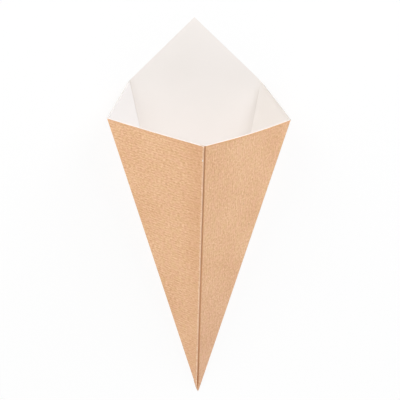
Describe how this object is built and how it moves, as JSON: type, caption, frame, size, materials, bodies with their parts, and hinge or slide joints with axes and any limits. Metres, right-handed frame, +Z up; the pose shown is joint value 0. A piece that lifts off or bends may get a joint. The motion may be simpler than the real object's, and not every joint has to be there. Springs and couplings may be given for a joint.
{
  "type": "fries cone",
  "caption": "Folded paper fries cone, kraft brown outside and white inside: a sharp tip, a tall pointed back, narrow folded sides and a glued front seam. Holds chips or snacks.",
  "frame": {"origin": "centre of the cone's outline on the surface it lies on", "axes": "+Y from the tip towards the mouth and the back's point, +Z up from the flat back panel towards the front seam, +X to the right as seen from above the seam with the tip nearest"},
  "size_m": [0.1086, 0.2404, 0.0689],
  "materials": {
    "kraft_board": "matt kraft board, finely ribbed, white on the inside"
  },
  "bodies": {
    "root": {"cone": "kraft_board"}
  },
  "joints": []
}
